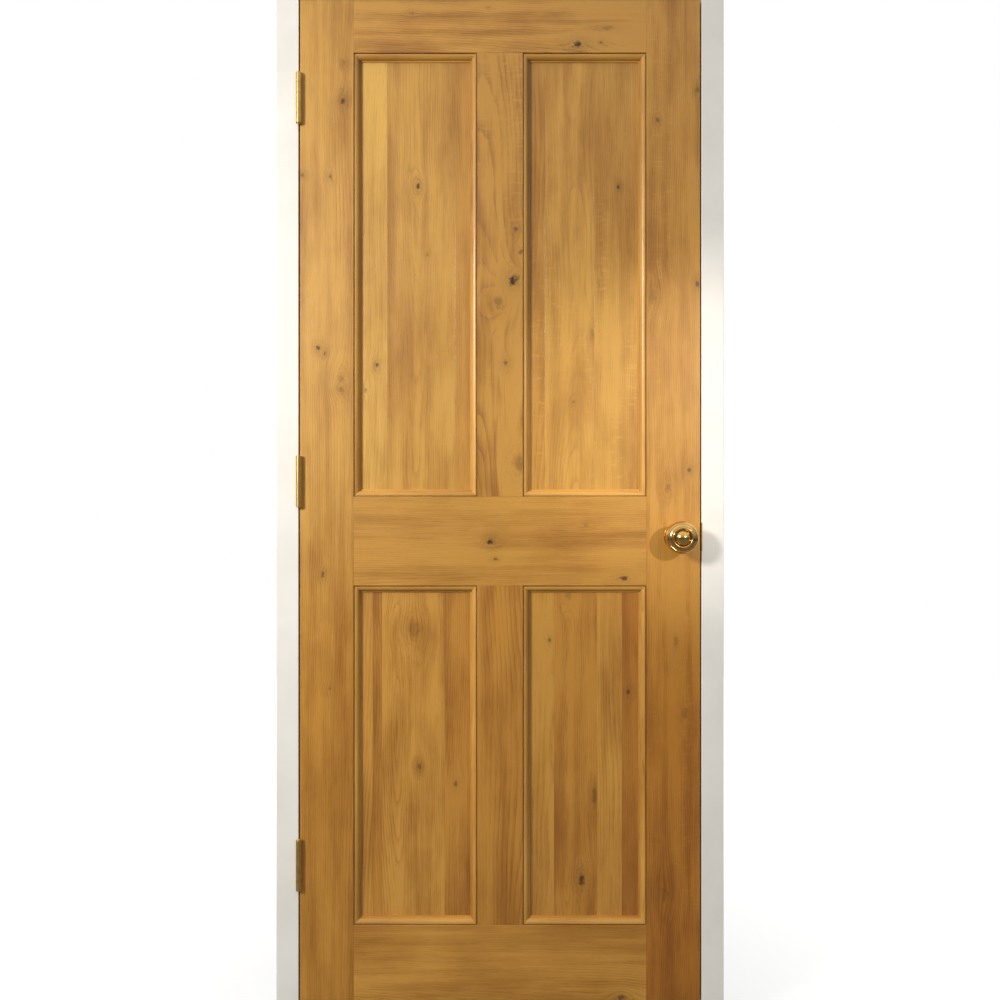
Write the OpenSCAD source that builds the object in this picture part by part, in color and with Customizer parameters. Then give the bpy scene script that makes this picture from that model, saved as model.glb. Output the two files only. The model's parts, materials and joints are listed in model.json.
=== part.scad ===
// Four-panel oak front door, hung in a white-painted frame with planted stops and a sill.
// Millimetres. +Z is up, +X runs to the latch side, -Y is the side that the leaf opens to.
// The origin is on the floor, under the middle of the leaf's width and thickness.

/* [Leaf] */
// Width of the leaf
leaf_w = 813; // [640:1:1000]
// Height of the leaf
leaf_h = 2032; // [1690:1:2450]
// Thickness of the leaf
leaf_t = 44; // [36:1:54]
// Width of each stile
stile_w = 109; // [88:1:132]
// Width of the top rail
top_rail_w = 107; // [85:1:150]
// Width of the lock rail
lock_rail_w = 181; // [150:1:240]
// Width of the bottom rail
bottom_rail_w = 152; // [100:1:240]
// Width of the muntins between the panels
muntin_w = 93; // [60:1:130]
// Height of the openings above the lock rail
upper_opening_h = 902; // [700:1:1090]

/* [Panels and beads] */
// Thickness of the panels
panel_t = 16; // [9:1:20]
// Depth of the groove that holds a panel
groove_d = 10; // [6:0.5:13]
// Room left for a panel to move in its groove
panel_play = 2; // [1:0.5:4]
// Width of the planted beads
bead_w = 14.5; // [12:0.5:20]
// Radius of the bead's round
bead_round = 9.5; // [6:0.5:10]
// Width of the quirk beside the round
quirk_w = 2; // [1:0.25:3]
// Shares of a panel's width taken by its boards, upper left
staves_ul = [0.28, 0.52, 0.20];
// The same, upper right
staves_ur = [0.20, 0.38, 0.42];
// The same, lower left
staves_ll = [0.17, 0.07, 0.48, 0.28];
// The same, lower right
staves_lr = [0.27, 0.33, 0.19, 0.21];

/* [Joinery] */
// Length of the rails' tenons
tenon_l = 60; // [30:1:75]
// Thickness of every tenon
tenon_t = 14; // [10:1:16]
// Length of the muntins' tenons
muntin_tenon_l = 30; // [15:1:40]

/* [Frame] */
// Thickness of the jambs and the head
jamb_t = 45; // [38:1:60]
// Depth of the frame from front to back
frame_d = 95; // [80:1:140]
// Thickness of the stops that the leaf closes against
stop_t = 9.5; // [8:0.5:10]
// Height of the sill behind the leaf
sill_h = 57; // [45:1:75]
// Height of the sill's step behind the leaf
sill_step = 12; // [8:0.5:16]
// Gap round the sides and top of the leaf
gap = 3; // [2:0.25:4]
// Gap under the leaf
bottom_gap = 4; // [3:0.5:8]
// Space between the leaf and the rebate for the seal
seal_gap = 2; // [1.5:0.25:4]
// Width of the seal strips
seal_w = 5; // [3:0.5:5.5]
// How far the sill's nose stands out behind the frame
sill_nose = 40; // [20:1:70]
// Radius of the holes for the frame's fixings
fixing_r = 4; // [3:0.25:6]

/* [Hinges] */
// Height of a hinge
hinge_h = 102; // [70:1:127]
// Width of a hinge plate from its pin
plate_w = 34; // [28:1:44]
// Thickness of a hinge plate
plate_t = 2.5; // [2:0.25:4]
// Outer radius of the knuckles
knuckle_r = 5.7; // [5.2:0.05:5.8]
// Radius of the hinge pin
pin_r = 2.5; // [2:0.25:3]
// Distance from the top of the leaf to the top hinge
hinge_from_top = 150; // [100:1:250]
// Distance from the bottom of the leaf to the bottom hinge
hinge_from_bottom = 225; // [150:1:300]

/* [Latch and knobs] */
// Distance from the leaf's edge to the spindle
backset = 44.5; // [43.5:0.5:60]
// Height of the spindle above the middle of the lock rail
spindle_above_rail = 8.5; // [0:0.5:20]
// Radius of the latch case
case_r = 12.5; // [12:0.25:14]
// Greatest radius of a knob
knob_r = 33; // [27:0.5:34]
// Radius of a rose
rose_r = 29; // [26:0.5:32]
// Side of the square spindle
spindle_s = 8; // [6:0.5:8.5]
// Turn of the knob from latched to drawn back
knob_turn = 60; // [50:1:60]

/* [Hidden] */
$fn = 64;
HINGE_NAMES = ["top", "middle", "bottom"];
PANEL_NAMES = ["upper_left", "upper_right", "lower_left", "lower_right"];

OAK = "#c08c48";
PAINT = "#f2f1ec";
BRASS = "#b8923f";
STEEL = "#a9abad";
SEAL = "#3a3836";
eps = 0.01;
free = 0.1; // room round a screw in its hole

// Levels of the leaf, from the floor up
face_y = -leaf_t / 2;
back_y = leaf_t / 2;
leaf_z0 = sill_h - sill_step + bottom_gap;
leaf_z1 = leaf_z0 + leaf_h;
lower_opening_h = leaf_h - top_rail_w - lock_rail_w - bottom_rail_w - upper_opening_h;
lower_z0 = leaf_z0 + bottom_rail_w;
lower_z1 = lower_z0 + lower_opening_h;
upper_z0 = lower_z1 + lock_rail_w;
upper_z1 = upper_z0 + upper_opening_h;

// Widths of the leaf
edge_x = leaf_w / 2;
inner_x = edge_x - stile_w;
opening_w = (leaf_w - 2 * stile_w - muntin_w) / 2;
opening_x = (muntin_w + opening_w) / 2;
recess = (leaf_t - panel_t) / 2;
// [middle x, lowest z, height, board shares] of each opening
OPENINGS = [
    [-opening_x, upper_z0, upper_opening_h, staves_ul],
    [opening_x, upper_z0, upper_opening_h, staves_ur],
    [-opening_x, lower_z0, lower_opening_h, staves_ll],
    [opening_x, lower_z0, lower_opening_h, staves_lr]];

// The bead's section: a quirk, a round, and a small fillet on the panel
bead_top = recess - 1.5;
quirk_floor = bead_top - 4;
fillet_h = 2.2;

// Latch: everything is placed from the spindle's axis
spindle_x = edge_x - backset;
spindle_z = lower_z1 + lock_rail_w / 2 + spindle_above_rail;
case_wall = 1;
case_inner = case_r - case_wall;
case_tail = 19; // length of the case behind the spindle
faceplate_t = 3;
plate_half_y = 12.5;
plate_half_z = 28.5;
plate_screw_z = 22;
hub_r = 7;
hub_half_y = 10;
nose_r = 1.5;
nose_reach = case_inner - nose_r - 0.5;
bolt_travel = 2 * nose_reach * sin(knob_turn / 2);
bolt_half_y = 5.5;
bolt_half_z = 8;
bolt_l = 18;
bolt_rest = 1; // how far the drawn bolt still stands out
bolt_bevel = 10;
tail_half_y = 3.5;
tail_z0 = -(case_inner - 1);
tail_z1 = -(hub_r + 0.7);
tail_tab = 1.5;
window = nose_r + 0.2;
bolt_front = edge_x + bolt_rest;
bolt_rear = bolt_front - bolt_l;
seat_x = spindle_x + hub_r + 5; // front of the spring's seat is this plus its wall
seat_t = 1.5;
spring_wire = 0.9;
spring_r = 4.5;
spring_turns = 6;
spindle_hole_r = 11;

// Joinery
tenon_inset = groove_d + 4;
haunch = 30; // kept solid at the ends of the stiles
mortice_end = 1; // glue space at the bottom of a mortice
latch_zone = case_r + 5;
TOP_TENONS = [[upper_z1 + tenon_inset, leaf_z1 - haunch]];
LOCK_TENONS = [
    [lower_z1 + tenon_inset, spindle_z - latch_zone],
    [spindle_z + latch_zone, upper_z0 - tenon_inset]];
BOTTOM_TENONS = [[leaf_z0 + haunch, lower_z0 - tenon_inset]];

// Hinges
hinge_axis_x = -(edge_x + gap / 2);
knuckle_proud = 6;
hinge_axis_y = face_y - knuckle_proud;
KNUCKLES = 5;
knuckle_gap = 0.3;
pin_fit = 0.02;
pin_running = 0.05;
pin_head_r = 4.6;
pin_head_h = 3;
top_hinge_z = leaf_z1 - hinge_from_top - hinge_h / 2;
bottom_hinge_z = leaf_z0 + hinge_from_bottom + hinge_h / 2;
HINGE_Z = [top_hinge_z, (top_hinge_z + bottom_hinge_z) / 2, bottom_hinge_z];
// Screw places on a hinge plate: share of its buried width, share of half its height
HINGE_SCREWS = [[0.3, 0.76], [0.3, -0.76], [0.72, 0.26], [0.72, -0.26]];
hinge_screw_l = 32;
screw_head_r = 4.2;
screw_shank_r = 2.1;
small_head_r = 3.2;
small_shank_r = 1.6;

// Frame
jamb_x0 = edge_x + gap;
jamb_x1 = jamb_x0 + jamb_t;
stop_x = jamb_x0 - stop_t;
stop_y = back_y + seal_gap;
frame_y1 = face_y + frame_d;
head_z0 = leaf_z1 + gap;
head_z1 = head_z0 + jamb_t;
stop_z = head_z0 - stop_t;
strike_t = 2;
strike_y1 = 12;
strike_mouth = 0.6; // room round the bolt in the strike plate
pocket_d = 10;
frame_tenon_t = 16;
frame_tenon_l = 30;
frame_tenon_y0 = stop_y + 6;
// Fixing holes, from the middle of the jamb's height
fixing_z = head_z1 / 2;
fixing_end = 154.5; // from either end of a jamb to its outer hole
fixing_outer = head_z1 / 2 - fixing_end;
fixing_inner = 320;
fixing_y = (face_y + stop_y) / 2;

module block(lo, hi) {
    translate(lo) cube(hi - lo);
}

// A slotted countersunk wood screw, its head flush at the origin, driven down -Z
module wood_screw(head_r, shank_r, length) {
    tip = 3 * shank_r;
    difference() {
        rotate_extrude()
            polygon([[0, 0], [head_r, 0], [shank_r, shank_r - head_r],
                     [shank_r, tip - length], [0, -length]]);
        translate([-head_r, -0.45, -0.9]) cube([2 * head_r, 0.9, 1]);
    }
}

// The hole that the screw above goes in, a little wider all round
module screw_hole(head_r, shank_r, length) {
    rotate_extrude()
        polygon([[0, eps], [head_r + free, eps], [head_r + free, 0],
                 [shank_r + free, shank_r - head_r],
                 [shank_r + free, -length - free], [0, -length - free]]);
}

// ---------- leaf joinery ----------

module stile(side, mortices) {
    difference() {
        block([min(side * inner_x, side * edge_x), face_y, leaf_z0],
              [max(side * inner_x, side * edge_x), back_y, leaf_z1]);
        for (o = [OPENINGS[0], OPENINGS[2]])
            block([min(side * (inner_x - 1), side * (inner_x + groove_d)), -panel_t / 2, o[1] - groove_d],
                  [max(side * (inner_x - 1), side * (inner_x + groove_d)), panel_t / 2, o[1] + o[2] + groove_d]);
        for (m = mortices)
            block([min(side * (inner_x - 1), side * (inner_x + tenon_l + mortice_end)), -tenon_t / 2, m[0]],
                  [max(side * (inner_x - 1), side * (inner_x + tenon_l + mortice_end)), tenon_t / 2, m[1]]);
    }
}

module hinge_stile() {
    color(OAK) difference() {
        stile(-1, concat(TOP_TENONS, LOCK_TENONS, BOTTOM_TENONS));
        for (z = HINGE_Z) {
            block([-edge_x - 1, face_y - 1, z - hinge_h / 2],
                  [-edge_x + plate_t, hinge_axis_y + plate_w, z + hinge_h / 2]);
            hinge_screw_places(z, 1) screw_hole(screw_head_r, screw_shank_r, hinge_screw_l);
        }
    }
}

module lock_stile() {
    color(OAK) difference() {
        stile(1, concat(TOP_TENONS, LOCK_TENONS, BOTTOM_TENONS));
        translate([spindle_x, 0, spindle_z]) {
            rotate([90, 0, 0]) cylinder(r = spindle_hole_r, h = leaf_t + 2, center = true);
            translate([-case_tail - 0.5, 0, 0]) rotate([0, 90, 0])
                cylinder(r = case_r + free, h = backset + case_tail + 1.5);
            block([backset - faceplate_t, -plate_half_y, -plate_half_z],
                  [backset + 1, plate_half_y, plate_half_z]);
        }
        plate_screws(edge_x, 1) screw_hole(small_head_r, small_shank_r, 18);
        for (s = [-1, 1]) rose_screw_places(s) screw_hole(small_head_r, small_shank_r, 16);
    }
}

// A rail from stile to stile, with a groove on each edge that meets panels
module rail(z0, z1, tenons, grooves) {
    color(OAK) difference() {
        union() {
            block([-inner_x, face_y, z0], [inner_x, back_y, z1]);
            for (t = tenons)
                block([-inner_x - tenon_l, -tenon_t / 2, t[0]], [inner_x + tenon_l, tenon_t / 2, t[1]]);
        }
        for (g = grooves) {
            edge = g > 0 ? z1 : z0;
            for (s = [-1, 1])
                block([s * opening_x - opening_w / 2 - groove_d, -panel_t / 2, edge - groove_d],
                      [s * opening_x + opening_w / 2 + groove_d, panel_t / 2, edge + groove_d]);
            block([-muntin_w / 2 + tenon_inset, -tenon_t / 2, edge - muntin_tenon_l - mortice_end],
                  [muntin_w / 2 - tenon_inset, tenon_t / 2, edge + muntin_tenon_l + mortice_end]);
        }
        if (z0 == lower_z1)
            for (s = [-1, 1]) rose_screw_places(s) screw_hole(small_head_r, small_shank_r, 16);
    }
}

module muntin(z0, z1) {
    color(OAK) difference() {
        union() {
            block([-muntin_w / 2, face_y, z0], [muntin_w / 2, back_y, z1]);
            block([-muntin_w / 2 + tenon_inset, -tenon_t / 2, z0 - muntin_tenon_l],
                  [muntin_w / 2 - tenon_inset, tenon_t / 2, z1 + muntin_tenon_l]);
        }
        for (s = [-1, 1])
            block([min(s * (muntin_w / 2 - groove_d), s * (muntin_w / 2 + 1)), -panel_t / 2, z0 - eps],
                  [max(s * (muntin_w / 2 - groove_d), s * (muntin_w / 2 + 1)), panel_t / 2, z1 + eps]);
    }
}

// Sum of the first n values of a list
function sum_to(list, n) = n <= 0 ? 0 : list[n - 1] + sum_to(list, n - 1);

// One panel: boards of uneven width, glued edge to edge
module panel(o) {
    reach = groove_d - panel_play;
    width = opening_w + 2 * reach;
    color(OAK) for (i = [0 : len(o[3]) - 1])
        block([o[0] - width / 2 + width * sum_to(o[3], i), -panel_t / 2, o[1] - reach],
              [o[0] - width / 2 + width * sum_to(o[3], i + 1), panel_t / 2, o[1] + o[2] + reach]);
}

// ---------- beads ----------

module bead_section() {
    square([bead_w, fillet_h]);
    square([quirk_w + bead_round, bead_top - bead_round]);
    square([quirk_w, quirk_floor]);
    translate([quirk_w, bead_top - bead_round]) intersection() {
        circle(r = bead_round);
        square(bead_round + 1);
    }
}

// A bead lying along X, mitred at both ends, its back on z = 0 and its foot on y = 0
module bead(length) {
    intersection() {
        translate([-length / 2, 0, 0]) rotate([90, 0, 90]) linear_extrude(length)
            rotate(90) bead_section();
        rotate([90, 0, 0]) linear_extrude(2 * recess, center = true)
            polygon([[-length / 2, 0], [length / 2, 0],
                     [length / 2 - bead_w, bead_w], [bead_w - length / 2, bead_w]]);
    }
}

module beads(o, side) {
    color(OAK) scale([1, side, 1]) translate([o[0], -panel_t / 2, o[1] + o[2] / 2])
        for (a = [0 : 90 : 270]) {
            upright = a % 180 != 0;
            rotate([0, a, 0])
                translate([0, 0, -(upright ? opening_w : o[2]) / 2]) bead(upright ? o[2] : opening_w);
        }
}

// ---------- hinges ----------

// Puts its child at each screw of a hinge plate: side 1 is the leaf's, -1 the frame's
module hinge_screw_places(z, side) {
    buried = plate_w - knuckle_proud;
    for (p = HINGE_SCREWS)
        translate([hinge_axis_x + side * gap / 2, face_y + p[0] * buried, z + p[1] * hinge_h / 2])
            rotate([0, -side * 90, 0]) children();
}

module knuckles(z, first, r, extra) {
    step = hinge_h / KNUCKLES;
    for (i = [first : 2 : KNUCKLES - 1])
        translate([hinge_axis_x, hinge_axis_y, z - hinge_h / 2 + i * step - extra])
            cylinder(r = r, h = step + 2 * extra);
}

module hinge_plate(z, side) {
    own = side > 0 ? 1 : 0;
    x0 = hinge_axis_x + side * gap / 2;
    x1 = x0 + side * plate_t;
    color(BRASS) difference() {
        union() {
            block([min(x0, x1), hinge_axis_y, z - hinge_h / 2],
                  [max(x0, x1), hinge_axis_y + plate_w, z + hinge_h / 2]);
            knuckles(z, own, knuckle_r, 0);
        }
        knuckles(z, 1 - own, knuckle_r + 0.35, knuckle_gap);
        translate([hinge_axis_x, hinge_axis_y, z])
            cylinder(r = pin_r + (side > 0 ? pin_running : pin_fit), h = hinge_h + 2, center = true);
        hinge_screw_places(z, side) screw_hole(screw_head_r, screw_shank_r, hinge_screw_l);
    }
}

module hinge_pin(z) {
    color(BRASS) translate([hinge_axis_x, hinge_axis_y, z]) {
        cylinder(r = pin_r, h = hinge_h + 2 * pin_head_h - 2, center = true);
        for (s = [0, 180]) rotate([s, 0, 0]) translate([0, 0, hinge_h / 2 + 0.05])
            rotate_extrude() intersection() {
                union() {
                    square([pin_head_r, 1]);
                    translate([0, -1.6]) circle(r = pin_head_r);
                }
                square([pin_head_r, pin_head_h]);
            }
    }
}

module hinge_screws(side) {
    color(BRASS) for (z = HINGE_Z)
        hinge_screw_places(z, side) wood_screw(screw_head_r, screw_shank_r, hinge_screw_l);
}

// ---------- latch ----------

// Puts its child at the two screws of the faceplate (side 1) or the strike plate (side -1)
module plate_screws(x, side) {
    for (s = [-1, 1])
        translate([x, 0, spindle_z + s * plate_screw_z]) rotate([0, side * 90, 0]) children();
}

module latch_faceplate() {
    color(BRASS) difference() {
        translate([0, 0, spindle_z]) difference() {
            block([edge_x - faceplate_t, -plate_half_y, -plate_half_z], [edge_x, plate_half_y, plate_half_z]);
            block([edge_x - faceplate_t - 1, -bolt_half_y - 0.2, -bolt_half_z - 0.2],
                  [edge_x + 1, bolt_half_y + 0.2, bolt_half_z + 0.2]);
        }
        plate_screws(edge_x, 1) screw_hole(small_head_r, small_shank_r, 18);
    }
}

module latch_faceplate_screws() {
    color(BRASS) plate_screws(edge_x, 1) wood_screw(small_head_r, small_shank_r, 18);
}

// A tube with a pressed seat for the spring, cut through for the follower
module latch_case() {
    color(STEEL) translate([spindle_x, 0, spindle_z]) difference() {
        union() {
            translate([-case_tail, 0, 0]) rotate([0, 90, 0]) difference() {
                cylinder(r = case_r, h = case_tail + backset - faceplate_t);
                translate([0, 0, -1]) cylinder(r = case_inner, h = case_tail + backset + 2);
            }
            translate([seat_x - spindle_x, 0, 0]) rotate([0, 90, 0])
                cylinder(r = case_inner + case_wall / 2, h = seat_t);
        }
        block([seat_x - spindle_x - 1, -tail_half_y - 0.3, tail_z0 - 0.4],
              [seat_x - spindle_x + seat_t + 1, tail_half_y + 0.3, tail_z1 + 0.4]);
        rotate([90, 0, 0]) cylinder(r = hub_r + 0.1, h = 2 * case_r + 2, center = true);
    }
}

// The hub that the spindle turns, with a nose that works the bolt's tail
module follower() {
    color(STEEL) translate([spindle_x, 0, spindle_z]) rotate([0, knob_turn / 2, 0]) difference() {
        union() {
            rotate([90, 0, 0]) cylinder(r = hub_r, h = 2 * hub_half_y, center = true);
            block([-0.8, -nose_r, -nose_reach], [0.8, nose_r, -hub_r + 1]);
            translate([0, 0, -nose_reach]) rotate([90, 0, 0])
                cylinder(r = nose_r, h = 2 * nose_r, center = true);
        }
        rotate([0, -knob_turn / 2, 0])
            cube([spindle_s + 0.1, 3 * hub_half_y, spindle_s + 0.1], center = true);
    }
}

module latch_bolt() {
    color(BRASS) translate([0, 0, spindle_z - bolt_half_z]) linear_extrude(2 * bolt_half_z)
        polygon([[bolt_rear, -bolt_half_y], [bolt_front, -bolt_half_y],
                 [bolt_front, -bolt_half_y / 2], [bolt_front - 1.5, -bolt_half_y / 4],
                 [bolt_front - bolt_bevel, bolt_half_y], [bolt_rear, bolt_half_y]]);
}

// A folded strip fixed to the back of the bolt, with a window for the follower's nose
module bolt_tail() {
    window_x = spindle_x - nose_reach * sin(knob_turn / 2);
    color(STEEL) translate([0, 0, spindle_z]) difference() {
        union() {
            block([bolt_rear - tail_tab, -tail_half_y, tail_z0],
                  [bolt_rear, tail_half_y, -spring_r - spring_wire / 2 - 0.3]);
            block([window_x - 4.5, -tail_half_y, tail_z0], [bolt_rear, tail_half_y, tail_z1]);
        }
        block([window_x - window, -nose_r - 0.2, tail_z0 - 1], [window_x + window, nose_r + 0.2, tail_z1 + 1]);
    }
}

// A coil spring between its seat and the back of the drawn bolt
module latch_spring() {
    sides = 6;
    per_turn = 14;
    rings = spring_turns * per_turn;
    x0 = seat_x + seat_t + spring_wire / 2 + 0.05;
    pitch = (bolt_rear - x0 - spring_wire / 2 - 0.1) / spring_turns;
    w = spring_wire / 2;
    points = [for (i = [0 : rings], k = [0 : sides - 1])
        let (t = i / per_turn, a = 360 * t, b = 360 * k / sides, r = spring_r + w * cos(b))
        [pitch * t + w * sin(b), r * cos(a), r * sin(a)]];
    walls = [for (i = [0 : rings - 1], k = [0 : sides - 1])
        let (n = (k + 1) % sides)
        [i * sides + k, i * sides + n, (i + 1) * sides + n, (i + 1) * sides + k]];
    ends = [[for (k = [sides - 1 : -1 : 0]) k], [for (k = [0 : sides - 1]) rings * sides + k]];
    color(STEEL) translate([x0, 0, spindle_z]) polyhedron(points, concat(walls, ends));
}

module strike_plate() {
    mouth_y = bolt_half_y + strike_mouth;
    mouth_z = bolt_half_z + strike_mouth;
    color(BRASS) difference() {
        translate([0, 0, spindle_z]) difference() {
            block([jamb_x0, face_y, -plate_half_z], [jamb_x0 + strike_t, strike_y1, plate_half_z]);
            block([jamb_x0 - 1, -mouth_y, -mouth_z], [jamb_x0 + strike_t + 1, mouth_y, mouth_z]);
        }
        plate_screws(jamb_x0, -1) screw_hole(small_head_r, small_shank_r, 18);
    }
}

module strike_screws() {
    color(BRASS) plate_screws(jamb_x0, -1) wood_screw(small_head_r, small_shank_r, 18);
}

// ---------- knobs ----------

rose_base = 3;
rose_t = 6;
collar_t = 11;
neck_r = 11;
neck_free = 0.08;
rose_screw_r = 20.5;

// Places on a rose, front (side -1) or rear (side 1), with the screws driven into the leaf
module rose_screw_places(side) {
    for (a = [90, 210, 330])
        translate([spindle_x + rose_screw_r * cos(a), side * (back_y + rose_t), spindle_z + rose_screw_r * sin(a)])
            rotate([-side * 90, 0, 0]) children();
}

// Turns a half outline of [radius, distance from the leaf's face] about the spindle
module turned(side) {
    translate([spindle_x, side * back_y, spindle_z]) rotate([-side * 90, 0, 0])
        rotate_extrude() children();
}

module rose(side) {
    color(BRASS) difference() {
        turned(side) difference() {
            union() {
                square([rose_r, rose_base - 1]);
                square([rose_r - 1, rose_base]);
                translate([rose_r - 1, rose_base - 1]) circle(r = 1);
                square([rose_r - 4, rose_t]);
                translate([rose_r - 4, rose_t - 1.5]) circle(r = 1.5);
                square([neck_r + 3, collar_t - 1]);
                square([neck_r + 2, collar_t]);
                translate([neck_r + 2, collar_t - 1]) circle(r = 1);
            }
            translate([0, -1]) square([neck_r + neck_free, collar_t + 2]);
        }
        rose_screw_places(side) screw_hole(small_head_r, small_shank_r, 16);
    }
}

module rose_screws(side) {
    color(BRASS) rose_screw_places(side) wood_screw(small_head_r, small_shank_r, 16);
}

neck_foot = 1.5;
knob_mid = 42;  // distance of the widest circle from the leaf's face
knob_round = 13.5;
socket_d = 33;
grub_d = 21;
grub_r = 2;

// A bun with a rim, a ring and a domed boss turned on its front
module knob_outline() {
    intersection() {
        union() {
            translate([0, neck_foot]) square([neck_r, knob_mid - neck_foot]);
            translate([neck_r, 26]) circle(r = 3);
            translate([0, knob_mid - knob_round]) square([knob_r - knob_round, 2 * knob_round]);
            translate([knob_r - knob_round, knob_mid]) circle(r = knob_round);
            translate([knob_r - 7, knob_mid + 11]) circle(r = 3);
            translate([knob_r - 14.5, knob_mid + 15]) circle(r = 3.2);
            translate([0, knob_mid + 4]) circle(r = 19);
        }
        square([knob_r + 5, knob_mid + 30]);
    }
}

// Builds its child on the leaf's front face, and turns it about the spindle to the rear
module faced(side) {
    translate([spindle_x, 0, spindle_z]) rotate([0, 0, side > 0 ? 180 : 0])
        translate([0, face_y, 0]) children();
}

module knob(side) {
    half = spindle_s / 2 + 0.05;
    color(BRASS) faced(side) difference() {
        rotate([90, 0, 0]) rotate_extrude() knob_outline();
        block([-half, -socket_d, -half], [half, 1, half]);
        translate([0, -grub_d, 0]) mirror([0, 0, 1]) cylinder(r = grub_r, h = neck_r + 1);
    }
}

module grub_screw(side) {
    reach = spindle_s / 2 + 0.05;
    color(STEEL) translate([spindle_x, side * (back_y + grub_d), spindle_z - neck_r + 0.3]) difference() {
        cylinder(r = grub_r - 0.03, h = neck_r - reach - 0.3);
        translate([0, 0, -eps]) cylinder(r = 1.1, h = 1.8, $fn = 6);
    }
}

module spindle() {
    l = 2 * (back_y + socket_d - 1);
    color(STEEL) translate([spindle_x, 0, spindle_z]) cube([spindle_s, l, spindle_s], center = true);
}

// ---------- frame ----------

module sill_section() {
    polygon([[face_y, 0], [face_y, sill_h - sill_step], [stop_y, sill_h - sill_step], [stop_y, sill_h],
             [frame_y1, sill_h], [frame_y1 + sill_nose - 3, sill_h - 17], [frame_y1 + sill_nose, sill_h - 20],
             [frame_y1 + sill_nose, 10], [frame_y1 + sill_nose - 9, 10], [frame_y1 + sill_nose - 9, 14],
             [frame_y1 + sill_nose - 13, 14], [frame_y1 + sill_nose - 13, 10], [frame_y1 + 4, 10], [frame_y1, 0]]);
}

module across(reach) {
    translate([-reach, 0, 0]) rotate([90, 0, 90]) linear_extrude(2 * reach) children();
}

// The tenon on each end of a jamb, and with more length the mortice it goes in
module frame_tenon(side, z0, z1) {
    block([min(side * (jamb_x0 + 8), side * (jamb_x1 - 8)), frame_tenon_y0, z0],
          [max(side * (jamb_x0 + 8), side * (jamb_x1 - 8)), frame_tenon_y0 + frame_tenon_t, z1]);
}

module frame_sill() {
    color(PAINT) difference() {
        across(jamb_x1) sill_section();
        for (s = [-1, 1]) frame_tenon(s, sill_h - frame_tenon_l - mortice_end, sill_h + 1);
    }
}

module frame_head() {
    color(PAINT) difference() {
        block([-jamb_x1, face_y, head_z0], [jamb_x1, frame_y1, head_z1]);
        for (s = [-1, 1]) frame_tenon(s, head_z0 - 1, head_z0 + frame_tenon_l + mortice_end);
    }
}

module jamb(side) {
    difference() {
        block([min(side * jamb_x0, side * jamb_x1), face_y, sill_h - sill_step],
              [max(side * jamb_x0, side * jamb_x1), frame_y1, head_z0]);
        across(jamb_x1 + 1) sill_section();
        for (z = [-fixing_outer, -fixing_inner, fixing_inner, fixing_outer])
            translate([side * (jamb_x0 + jamb_x1) / 2, fixing_y, fixing_z + z]) rotate([0, 90, 0])
                cylinder(r = fixing_r, h = jamb_t + 2, center = true);
    }
    frame_tenon(side, sill_h - frame_tenon_l, sill_h + 1);
    frame_tenon(side, head_z0 - 1, head_z0 + frame_tenon_l);
}

module side_stop(side) {
    color(PAINT) block([min(side * stop_x, side * jamb_x0), stop_y, sill_h],
                       [max(side * stop_x, side * jamb_x0), frame_y1, stop_z]);
}

module head_stop() {
    color(PAINT) block([-jamb_x0, stop_y, stop_z], [jamb_x0, frame_y1, head_z0]);
}

module hinge_jamb() {
    color(PAINT) difference() {
        jamb(-1);
        for (z = HINGE_Z) {
            block([-jamb_x0 - plate_t, face_y - 1, z - hinge_h / 2],
                  [-jamb_x0 + 1, hinge_axis_y + plate_w, z + hinge_h / 2]);
            hinge_screw_places(z, -1) screw_hole(screw_head_r, screw_shank_r, hinge_screw_l);
        }
    }
}

module latch_jamb() {
    pocket_y = bolt_half_y + strike_mouth;
    pocket_z = bolt_half_z + strike_mouth;
    color(PAINT) difference() {
        jamb(1);
        translate([0, 0, spindle_z]) {
            block([jamb_x0 - 1, face_y - 1, -plate_half_z], [jamb_x0 + strike_t, strike_y1, plate_half_z]);
            block([jamb_x0 - 1, -pocket_y, -pocket_z], [jamb_x0 + strike_t + pocket_d, pocket_y, pocket_z]);
        }
        plate_screws(jamb_x0, -1) screw_hole(small_head_r, small_shank_r, 18);
    }
}

seal_t = seal_gap - 0.3;
seal_x1 = edge_x - 0.5;

module side_seal(side) {
    color(SEAL) block([min(side * (seal_x1 - seal_w), side * seal_x1), stop_y - seal_t, sill_h],
                      [max(side * (seal_x1 - seal_w), side * seal_x1), stop_y, stop_z]);
}

module head_seal() {
    color(SEAL) block([-seal_x1, stop_y - seal_t, stop_z], [seal_x1, stop_y, stop_z + seal_w]);
}

// ---------- nodes ----------

hinge_jamb();
latch_jamb();
frame_head();
frame_sill();
side_stop(-1);  // hinge_side_stop
side_stop(1);  // latch_side_stop
head_stop();
side_seal(-1);  // hinge_side_seal
side_seal(1);  // latch_side_seal
head_seal();
strike_plate();
strike_screws();
for (i = [0 : 2]) {
    hinge_plate(HINGE_Z[i], -1);
    hinge_plate(HINGE_Z[i], 1);
    hinge_pin(HINGE_Z[i]);
}
hinge_screws(-1);  // hinge_frame_screws
hinge_screws(1);  // hinge_leaf_screws
hinge_stile();
lock_stile();
rail(upper_z1, leaf_z1, TOP_TENONS, [-1]);  // top_rail
rail(lower_z1, upper_z0, LOCK_TENONS, [-1, 1]);  // lock_rail
rail(leaf_z0, lower_z0, BOTTOM_TENONS, [1]);  // bottom_rail
muntin(upper_z0, upper_z1);  // upper_muntin
muntin(lower_z0, lower_z1);  // lower_muntin
for (i = [0 : 3]) {
    panel(OPENINGS[i]);
    beads(OPENINGS[i], 1);
    beads(OPENINGS[i], -1);
}
latch_case();
latch_faceplate();
latch_faceplate_screws();
latch_spring();
rose(-1);  // front_rose
rose(1);  // rear_rose
rose_screws(-1);  // front_rose_screws
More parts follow.
